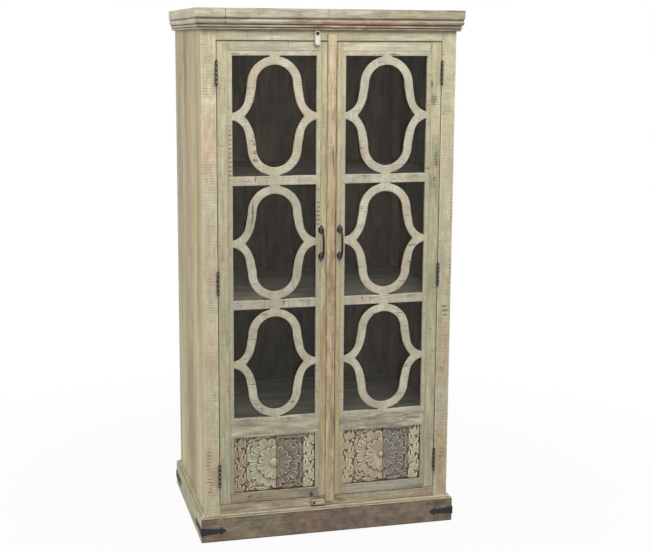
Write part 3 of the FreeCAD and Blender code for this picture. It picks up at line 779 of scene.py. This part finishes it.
def pull_bar(bm, x, seat, middle, reach, half):
    """A bowed round bar that thins towards its ends."""
    points, rings = [], []
    for i in range(BAR_STEPS + 1):
        turn = math.pi * i / BAR_STEPS
        z = math.copysign(abs(math.cos(turn)) ** PULL_POWER, math.cos(turn)) * half
        points.append(Vector((x, seat - (reach - PULL_BAR) * abs(math.sin(turn)) ** PULL_POWER, middle + z)))
    for i, point in enumerate(points):
        ahead = (points[min(i + 1, BAR_STEPS)] - points[max(i - 1, 0)]).normalized()
        across = Vector((1, 0, 0))
        out = across.cross(ahead)
        swell = math.sin(math.pi * i / BAR_STEPS) ** 0.6
        radius = PULL_BAR_ENDS + (PULL_BAR - PULL_BAR_ENDS) * swell
        rings.append([bm.verts.new(point + radius * (math.cos(a) * across + math.sin(a) * out))
                      for a in (2 * math.pi * k / BAR_SIDES for k in range(BAR_SIDES))])
    for a, b in zip(rings[:-1], rings[1:]):
        for k in range(BAR_SIDES):
            m = (k + 1) % BAR_SIDES
            bm.faces.new((a[k], a[m], b[m], b[k]))
    bm.faces.new(rings[0][::-1])
    bm.faces.new(rings[-1])


def pull(node):
    """A forged pull: two leaf plates and a bowed bar, as one piece."""
    low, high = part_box(node)
    x, wide = (low.x + high.x) / 2, (high.x - low.x) / 2
    bm = bmesh.new()
    pull_leaf(bm, x, high.y, high.z, high.z - PULL_LEAF_LENGTH, wide)
    pull_leaf(bm, x, high.y, low.z, low.z + PULL_LEAF_LENGTH, wide)
    middle, half = (low.z + high.z) / 2, (high.z - low.z - PULL_LEAF_LENGTH) / 2
    seat = high.y - PULL_PLATE / 2
    pull_bar(bm, x, seat, middle, seat - low.y, half)
    bmesh.ops.recalc_face_normals(bm, faces=bm.faces)
    mesh = mesh_of(bm, node)
    mesh.shade_smooth()
    mesh.set_sharp_from_angle(angle=SHARP_ANGLE)
    add_piece(mesh, node, [PULL_IRON, LEAF_HIGHLIGHT_IRON])


# How deep a stain reaches into a face
STAIN_DEPTH, SIDE_STAIN_DEPTH = 0.06, 0.05


def spots(y, *rows):
    """Stains on a face that looks forward. A row has x, z, half width, half height, colour and strength."""
    return [((x, y, z), (wide, STAIN_DEPTH, tall), *paint) for x, z, wide, tall, *paint in rows]


def side_spots(*rows):
    """Stains on the left side. A row has y, z, half depth, half height, colour and strength."""
    return [((LEFT_SIDE, y, z), (SIDE_STAIN_DEPTH, deep, tall), *paint) for y, z, deep, tall, *paint in rows]


def notches(*rows):
    """Runs of notches on the front. A row has x, z, half width, half height and the pitch in millimetres."""
    return [((x, FRONT, z), (wide, STAIN_DEPTH, tall), pitch * MM) for x, z, wide, tall, pitch in rows]


# Pale band round the post's front-left corner: a painted highlight
POST_CORNER_HIGHLIGHT = ((-0.445, -0.265, 0.95), (0.008, 0.04, 1.6), (222, 206, 160), 0.8)
POST_STAINS_AND_HIGHLIGHT = spots(
    FRONT, (-0.412, 0.225, 0.024, 0.04, (202, 162, 120), 0.5), (0.42, 0.62, 0.03, 0.16, PINK, 0.4),
    (0.42, 0.26, 0.03, 0.12, (196, 158, 124), 0.45), (-0.425, 1.37, 0.03, 0.08, PINK, 0.5),
    (-0.42, 1.19, 0.025, 0.05, (210, 208, 188), 0.6),
    (-0.42, 1.62, 0.04, 0.14, (184, 172, 138), 0.5)) + [POST_CORNER_HIGHLIGHT]
POST_NOTCHES = notches(
    (-0.43, 0.3, 0.012, 0.06, 12), (-0.43, 0.185, 0.012, 0.05, 12), (0.424, 0.775, 0.014, 0.03, 17),
    (0.42, 0.25, 0.011, 0.022, 15), (0.439, 1.14, 0.005, 0.08, 13), (0.44, 0.93, 0.005, 0.06, 13))
SIDE_STAINS = side_spots(
    (0.25, 1.25, 0.11, 0.7, (164, 164, 136), 0.65), (0.05, 1.25, 0.1, 0.65, (202, 172, 146), 0.65),
    (-0.19, 1.15, 0.08, 0.85, (190, 164, 108), 0.7), (0.03, 0.36, 0.13, 0.46, (168, 138, 114), 0.7),
    (0.1, 1.66, 0.06, 0.22, (142, 130, 106), 0.6))
LOCK_STAINS = spots(
    FRONT, (-0.3, 0.424, 0.05, 0.02, MAUVE, 0.7), (-0.075, 0.43, 0.036, 0.012, MAUVE, 0.7),
    (0.195, 0.394, 0.19, 0.028, (152, 140, 128), 0.7))
BASE_STAINS = spots(
    FRONT, (-0.09, 0.147, 0.062, 0.028, (128, 126, 122), 0.7),
    (-0.064, 0.14, 0.011, 0.013, (60, 58, 46), 1.0), (-0.286, 0.15, 0.012, 0.006, DIRT, 0.8),
    (0.195, 0.15, 0.21, 0.04, (190, 186, 172), 0.75))
LOW_STAINS = spots(
    FRONT, (0.24, 0.119, 0.2, 0.04, (190, 182, 158), 0.5), (-0.02, 0.116, 0.075, 0.036, (122, 100, 74), 0.7))
STILE_STAINS = spots(
    FRONT, (0.365, 1.25, 0.02, 0.07, (146, 150, 134), 0.6), (0.357, 1.582, 0.005, 0.014, CHARCOAL, 0.7),
    (0.37, 1.528, 0.013, 0.018, CHARCOAL, 0.45), (0.378, 1.325, 0.009, 0.034, CHARCOAL, 0.5),
    (0.368, 1.25, 0.012, 0.03, CHARCOAL, 0.45), (0.374, 0.3, 0.014, 0.15, (166, 160, 146), 0.5),
    (-0.372, 0.3, 0.02, 0.14, (166, 168, 140), 0.5))
STILE_NOTCHES = notches(
    (0.368, 1.526, 0.013, 0.024, 9), (0.376, 1.325, 0.011, 0.036, 10), (0.368, 1.255, 0.013, 0.024, 9))
MEETING_STAINS = spots(
    FRONT, (-0.026, 0.5, 0.014, 0.42, (186, 148, 106), 0.6), (0.03, 0.55, 0.012, 0.3, (178, 160, 116), 0.5))
# On the rounded strip, the pale left part is a painted highlight and the darker right part a painted shade;
# the brown patch by the handles is a stain
STRIP_STAINS_AND_SHADING = spots(
    STRIP_FACE, (-0.01, 0.95, 0.009, 1.2, (210, 196, 164), 0.65),
    (0.006, 0.55, 0.007, 0.4, (186, 142, 104), 0.5), (0.0, 0.99, 0.012, 0.16, (156, 130, 106), 0.55))
# Dark lines down both edges of the strip: painted shade
STRIP_STAINS_AND_SHADING += spots(FRONT, (-0.0145, 0.92, 0.0022, 1.2, DIRT, 0.6), (0.0165, 0.92, 0.002, 1.2, DIRT, 0.5))
# The fretwork's borders, patches and cracks
FRET_BORDERS = (-0.3465, -0.044, 0.044, 0.3465)
FRET_PATCHES = ((-0.31, 1.262), (-0.22, 1.27), (-0.09, 1.262), (0.1, 1.268), (0.29, 1.262), (-0.27, 0.84),
                (-0.1, 0.846), (0.15, 0.838), (0.3, 0.846))
FRET_CRACKS = ((-0.262, 1.266), (-0.127, 1.268), (0.21, 1.264), (-0.165, 0.842), (0.115, 0.842))
FRET_STAINS = LOCK_STAINS[:2] + spots(
    FRONT, *((x, 1.05, 0.013, 2.0, (188, 181, 148), 0.75) for x in FRET_BORDERS),
    (-0.272, 1.15, 0.0045, 0.05, DIRT, 0.85),
    *((x, z, 0.03, 0.012, (168, 148, 122), 0.45) for x, z in FRET_PATCHES),
    *((x, z, 0.0028, 0.013, DIRT, 0.8) for x, z in FRET_CRACKS))
FRET_NOTCHES = notches(
    (-0.35, 1.36, 0.008, 0.14, 15), (-0.044, 1.17, 0.007, 0.1, 15), (-0.262, 1.37, 0.014, 0.07, 27),
    (0.1, 1.33, 0.014, 0.05, 24))
PLINTH_STAINS = spots(
    PLINTH_FACE, (-0.3, 0.055, 0.08, 0.03, (142, 138, 110), 0.6),
    (0.06, 0.05, 0.16, 0.03, (122, 102, 100), 0.5), (0.4, 0.072, 0.04, 0.012, (70, 70, 60), 0.7))
# Painted shade along the cornice's groove lines, by level, then the joint in its fascia and the red stain
# above the doors
GROOVE_SHADES = ((1.796, 0.0036, 0.95), (1.7775, 0.0028, 0.95), (1.7685, 0.0024, 0.9), (1.761, 0.002, 0.8))
CORNICE_STAINS = spots(
    FASCIA_FACE, (-0.414, 1.815, 0.05, 0.03, (178, 168, 146), 0.5), (-0.364, 1.815, 0.0024, 0.03, DIRT, 0.8))
CORNICE_STAINS += spots(
    ROUND_FACE, (0.08, 1.783, 0.24, 0.016, RUST, 0.6), (-0.02, 1.766, 0.2, 0.008, RUST, 0.55))

# Finishes of the wooden pieces by the way that their grain runs
# The post's rims take the pale BARE colour: a painted highlight along its edges
POST = wood(
    "limed_post", (213, 205, 176), (196, 187, 156), "Z", stain_share=0.35, second_share=0.5,
    third_share=0.2, saw=0.9, streaks=0.25, lines=0.6, worn=0.7, smudge=0.2, rim_colour=BARE, rim_colour_share=0.55,
    depth=0.7, run=0.5, rub=(230, 216, 176), blots=POST_STAINS_AND_HIGHLIGHT, hatched=POST_NOTCHES)
SIDE = wood(
    "limed_side", (238, 228, 184), (214, 202, 157), "Z", stain=(180, 180, 144), stain_share=0.3,
    second=(208, 180, 148), third_share=0.2, saw=0.3, streaks=0.45, smudge=0.3,
    rim_colour_share=0.15, depth=0.8, run=0.12, coarse=4.0, blots=SIDE_STAINS)
RAIL = wood(
    "limed_rail", (212, 206, 178), (196, 188, 158), "X", stain=(190, 192, 166), second=(200, 180, 156),
    saw=0.25)
LOW_RAIL = wood(
    "limed_low_rail", (196, 184, 156), (164, 148, 120), "X", stain=(172, 166, 134), second=(142, 114, 90),
    second_share=0.6, third=(194, 180, 146), saw=0.9, depth=1.8, blots=LOW_STAINS)
DOOR_UP = wood(
    "green_stile", (193, 189, 157), (177, 173, 139), "Z", stain=GREEN, stain_share=0.5,
    second=(202, 182, 150), third_share=0.15, depth=0.8, blots=STILE_STAINS, hatched=STILE_NOTCHES)
DOOR_TOP = wood(
    "green_top_rail", (194, 192, 166), (178, 175, 146), "X", stain=(182, 190, 162), second=(196, 176, 154),
    third_share=0.15, saw=0.15)
DOOR_LOCK = wood(
    "green_lock_rail", (214, 206, 180), (184, 175, 147), "X", second=MAUVE, second_share=0.45, saw=0.3,
    depth=1.5, blots=LOCK_STAINS)
DOOR_BASE = wood(
    "brown_base_rail", (168, 155, 130), (142, 129, 106), "X", stain=(136, 130, 116), second=(150, 124, 100),
    third=(160, 150, 120), saw=0.2, depth=1.2, blots=BASE_STAINS)
FRET = wood(
    "pale_fret", (208, 205, 184), (188, 183, 160), "Z", stain=(176, 172, 156), stain_share=0.4,
    second=(190, 164, 138), third_share=0.15, saw=0.6, lines=0.3, smudge=0.9, rim_colour_share=0.2, depth=0.7,
    run=0.7, coarse=1.4, blots=FRET_STAINS, hatched=FRET_NOTCHES)
# Dark brown for the fret bars' sawn edges: painted shade
FRET_EDGE = wood("fret_edge_shade", (108, 88, 64), (84, 66, 46), "Z", stain=(92, 80, 62), third_share=0, worn=0)
# Dark brown for the boards' edges in the gaps between parts: painted shade
EDGE_SHADE = wood(
    "board_edge_shade", (122, 94, 62), (94, 70, 46), "Z", stain=(102, 84, 62), second=(124, 90, 60),
    third_share=0, worn=0, rim_colour_share=0)
TAN_STILE = wood(
    "tan_stile", (198, 187, 150), (180, 168, 130), "Z", stain=GREEN, second=(190, 158, 118),
    second_share=0.35, saw=0.25, depth=0.8, blots=MEETING_STAINS)
# Paler finishes for the plinth's faces that look up: painted highlight
LEDGE_ACROSS = wood("plinth_ledge_x", (200, 191, 160), (174, 162, 132), "X", saw=0.1)
LEDGE_DEEP = wood(
    "plinth_ledge_y", (208, 206, 176), (188, 184, 152), "Y", stain=GREEN, saw=0.1, rim_colour_share=0.2)
PLINTH_ACROSS = wood(
    "plinth_x", (150, 134, 112), (122, 106, 88), "X", stain=(116, 98, 94), stain_share=0.65,
    second=(150, 144, 116), second_share=0.65, third=(140, 110, 92), saw=0.8, rim_colour_share=0.7, depth=1.3,
    run=0.9, coarse=1.3, rub=(84, 70, 56), blots=PLINTH_STAINS)
PLINTH_DEEP = wood(
    "plinth_y", (206, 202, 172), (184, 178, 148), "Y", stain=(184, 186, 156), stain_share=0.5,
    second=(186, 166, 138), saw=0.2, rim_colour_share=0.2, run=0.5, coarse=3.0)
CORNICE_ACROSS = wood(
    "cornice_x", (190, 186, 165), (158, 150, 129), "X", stain=(162, 162, 146), second=(152, 126, 100),
    second_share=0.45, third_share=0.2, saw=0.4, depth=1.6, blots=CORNICE_STAINS, groove_shades=GROOVE_SHADES)
CORNICE_DEEP = wood(
    "cornice_y", (226, 218, 194), (208, 198, 172), "Y", second=(206, 180, 150), saw=0.1, run=0.1,
    coarse=3.0, groove_shades=GROOVE_SHADES)
STRIP = wood(
    "tan_strip", (210, 192, 160), (190, 167, 134), "Z", stain=(204, 190, 156), second=(180, 140, 106),
    second_share=0.65, saw=0.1, streaks=0.9, depth=1.8, blots=STRIP_STAINS_AND_SHADING)
# Turn buttons: the dark band round each is a painted shade
BUTTON_UP = wood(
    "pale_button_z", (244, 240, 222), (232, 226, 206), "Z", stain_share=0.2, second_share=0.1,
    third_share=0, saw=0, rim_colour_share=0.5, depth=0.5)
BUTTON_ACROSS = wood(
    "pale_button_x", (220, 204, 164), (200, 182, 142), "X", second_share=0.2, saw=0, rim_colour_share=0.9)
DUSTY_TOP = wood(
    "dusty_top", (174, 164, 138), (150, 139, 114), "X", stain=(160, 156, 138), second=(150, 128, 104),
    third_share=0.1, saw=0.2)
DARK_UP = wood(
    "inside_z", (166, 146, 120), (132, 113, 92), "Z", stain=(144, 140, 124), second=(126, 100, 84),
    third_share=0, saw=0.6, worn=0)
# Pale grey across the inside, lighter than the wood: painted light for the brightness on the shelves behind
# the glass
DARK_ACROSS = wood(
    "inside_x", (198, 191, 180), (170, 163, 152), "X", stain=(176, 178, 180), second=(156, 138, 118),
    third_share=0, saw=0.4, worn=0.1)
# A darker copy for the upper shelf: painted shade
SHADED_SHELF = wood(
    "inside_shelf", (138, 132, 124), (116, 110, 103), "X", stain=(120, 123, 126), second=(108, 95, 82),
    third_share=0, saw=0.4, worn=0.1)
BACK = wood(
    "plain_back", (160, 140, 110), (134, 114, 86), "Z", stain=(130, 116, 98), third_share=0, saw=0.6)
STRAP_IRON = iron("black_iron", (40, 43, 50), (58, 64, 76), 0.5, 0.2, 0.65)
PULL_IRON = iron("worn_iron", (44, 38, 36), (76, 68, 66), 0.5)
# The second hinge iron is a paler copy for the beads' fronts: painted highlight
HINGE_IRON = [iron("hinge_iron", (52, 49, 51), (72, 68, 70), 0.5, 0.7, 0.3),
              iron("bead_highlight_iron", (112, 110, 114), (136, 134, 138), 0.5, 0.7, 0.3)]
# Paler iron along the pull leaves' midribs: painted highlight
LEAF_HIGHLIGHT_IRON = iron("leaf_highlight_iron", (98, 92, 100), (130, 122, 130), 0.6, 0.8, 0.3)
GLASS = glass("pane_glass")


def inward(face):
    """Side planks are limed outside and dark inside."""
    x = face.calc_center_median().x
    return 1 if face.normal.x * x < -FACING * abs(x) else 0


def hidden(face):
    """Posts are dark inside the cabinet. The edges beside the doors take a painted shade for the gaps."""
    front = face.calc_center_median().y < 0
    if front and inward(face):
        return 2
    if front:
        return 1 if face.normal.y > FACING else 0
    return 1 if inward(face) or face.normal.y < -FACING else 0


def edge_faces(face):
    """Sawn edges are painted darker and browner than a board's face: painted shade for the gaps between
    parts, also beside the gap above the doors.
    """
    lean = abs(face.normal.y)
    beside_gap = lean < BEVEL_LEAN and abs(face.calc_center_median().z - DOOR_TOP_LEVEL) < GAP_REACH
    return 1 if lean < SAWN_LEAN or beside_gap else 0


def fret_faces(face):
    """The bars' sawn edges are painted dark brown, a painted shade. The straight edges of the openings are
    limed like the face.
    """
    straight = max(abs(face.normal.x), face.normal.z) > STRAIGHT_LEAN
    return 0 if straight else edge_faces(face)


def upper_faces(face):
    """The plinth's faces that look up, its ledge and bevel, take a paler finish than its face: a painted
    highlight.
    """
    return 1 if face.normal.z > LEDGE_LEAN else 0


def towards_front(face):
    """The back planks are dark inside and plain outside."""
    return 1 if face.normal.y < -FACING else 0


# Carcass
for side in ("left", "right"):
    dress("side_" + side, [SIDE, DARK_UP], choose=inward)
    for name in ("post_front_", "post_back_"):
        dress(name + side, [POST, DARK_UP, EDGE_SHADE], choose=hidden)
dress("back_panel", [BACK, DARK_UP], choose=towards_front)
for name, finish in (("front_top_rail", RAIL), ("front_bottom_rail", LOW_RAIL)):
    dress(name, [finish, EDGE_SHADE], choose=edge_faces)
dress("top_board", [DUSTY_TOP])
# The upper shelf takes the darker copy, a painted shade; the others take the pale one, a painted light
dress("shelf_upper", [SHADED_SHELF])
for name in ("bottom_board", "shelf_middle", "shelf_lower", "door_stop"):
    dress(name, [DARK_ACROSS])
dress("shelf_cleats", [DARK_UP], rim=0)
for name in ("plinth_front", "plinth_back"):
    dress(name, [PLINTH_ACROSS, LEDGE_ACROSS], PLINTH_BEVEL, upper_faces)
for name in ("plinth_left", "plinth_right"):
    dress(name, [PLINTH_DEEP, LEDGE_DEEP], PLINTH_BEVEL, upper_faces)
dress("cornice_front", [CORNICE_ACROSS], TRIM_BEVEL, rim=0)
for name in ("cornice_left", "cornice_right"):
    dress(name, [CORNICE_DEEP], TRIM_BEVEL, rim=0)

# Ironwork and turn buttons
dress("corner_straps", [STRAP_IRON], IRON_BEVEL, rim=0)
for name in ("hinge_pins", "latch_screws"):
    dress(name, [PULL_IRON], PIN_BEVEL, rim=0)
for side in ("left_", "right_"):
    for name in ("hinge_frame_leaves", "door_hinge_leaves"):
        dress(side + name, HINGE_IRON, PIN_BEVEL, rim=0, joint=side + "door_hinge")
# The turn buttons' dark rims are a painted shade round them
dress("top_turn_button", [BUTTON_UP], rim=BUTTON_RIM)
dress("bottom_turn_button", [BUTTON_ACROSS], rim=BUTTON_RIM)

# Doors
DOOR_BOARDS = {"hinge_stile": DOOR_UP, "panel_slips": DOOR_UP, "meeting_stile": TAN_STILE,
               "top_rail": DOOR_TOP, "lock_rail": DOOR_LOCK, "bottom_rail": DOOR_BASE}
for side in ("left_door_", "right_door_"):
    for name, finish in DOOR_BOARDS.items():
        dress(side + name, [finish, EDGE_SHADE], choose=edge_faces)
    for name in ("fret_upper", "fret_middle", "fret_lower"):
        dress(side + name, [FRET, FRET_EDGE], FRET_BEVEL, fret_faces, FRET_RIM)
    dress(side + "glazing_beads", [DARK_UP], rim=0)
    pull(side + "handle")
    panes = frame["nodes"][side + "glass"].data.materials
    panes.clear()
    panes.append(GLASS)
dress("left_door_cover_strip", [STRIP], rim=0)

# Old paint of the carved blocks from left to right: light, dark, patches
carved_panel("left", 18, 13, (
    ((192, 175, 143), (164, 145, 114), (176, 154, 122)),
    ((202, 194, 164), (180, 168, 138), (180, 182, 156)),
    ((150, 141, 124), (126, 115, 102), (146, 124, 108)),
    ((218, 211, 180), (200, 190, 156), (204, 198, 160))))
carved_panel("right", 11, 5, (
    ((212, 203, 172), (190, 178, 146), (196, 174, 148)),
    ((200, 190, 158), (180, 166, 134), (190, 158, 134)),
    ((148, 142, 132), (128, 116, 110), (136, 136, 138)),
    ((218, 212, 182), (200, 192, 160), (206, 196, 160))))


def add_lamp(name, place, target, size, power):
    """A soft square lamp."""
    lamp = bpy.data.lights.new(name, "AREA")
    lamp.size = size
    lamp.energy = power
    obj = bpy.data.objects.new(name, lamp)
    obj.location = place
    obj.rotation_euler = (Vector(target) - Vector(place)).to_track_quat("-Z", "Y").to_euler()
    bpy.context.scene.collection.objects.link(obj)


def add_stage():
    """Pale floor, soft lamps and a plain world that is white to the eye."""
    bpy.ops.mesh.primitive_plane_add(size=FLOOR_SIZE, location=(0, 0, 0))
    ground = bpy.context.object
    ground.name = "floor"
    ground.data.materials.append(floor_paint("floor_paint"))
    world = bpy.data.worlds.new("studio")
    bpy.context.scene.world = world
    world.use_nodes = True
    tree = world.node_tree
    strength = tree.nodes.new("ShaderNodeMapRange")
    tree.links.new(white_rays(tree), strength.inputs["Value"])
    strength.inputs["To Min"].default_value = WORLD_LIGHT
    strength.inputs["To Max"].default_value = 1.0
    tree.nodes["Background"].inputs["Color"].default_value = (1, 1, 1, 1)
    tree.links.new(strength.outputs["Result"], tree.nodes["Background"].inputs["Strength"])
    for name, settings in LAMPS.items():
        add_lamp(name, *settings)


def add_camera():
    """The photograph's view."""
    data = bpy.data.cameras.new("photo")
    data.sensor_fit = "HORIZONTAL"
    data.sensor_width = SENSOR
    data.lens = FOCAL_PIXELS * SENSOR / IMAGE_WIDTH
    data.shift_x = (IMAGE_WIDTH / 2 - PRINCIPAL_PIXEL[0]) / IMAGE_WIDTH
    data.shift_y = (PRINCIPAL_PIXEL[1] - IMAGE_HEIGHT / 2) / IMAGE_WIDTH
    data.clip_end = FAR_LIMIT
    camera = bpy.data.objects.new("photo", data)
    yaw, pitch, roll = (math.radians(a) for a in (CAMERA_YAW, CAMERA_PITCH, CAMERA_ROLL))
    ahead = Vector((math.sin(yaw) * math.cos(pitch), math.cos(yaw) * math.cos(pitch), math.sin(pitch)))
    camera.rotation_mode = "QUATERNION"
    camera.rotation_quaternion = ahead.to_track_quat("-Z", "Y") @ Quaternion((0, 0, 1), roll)
    camera.location = CAMERA_PLACE
    bpy.context.scene.collection.objects.link(camera)
    bpy.context.scene.camera = camera


add_stage()
add_camera()
bpy.context.scene.view_settings.view_transform = "Standard"
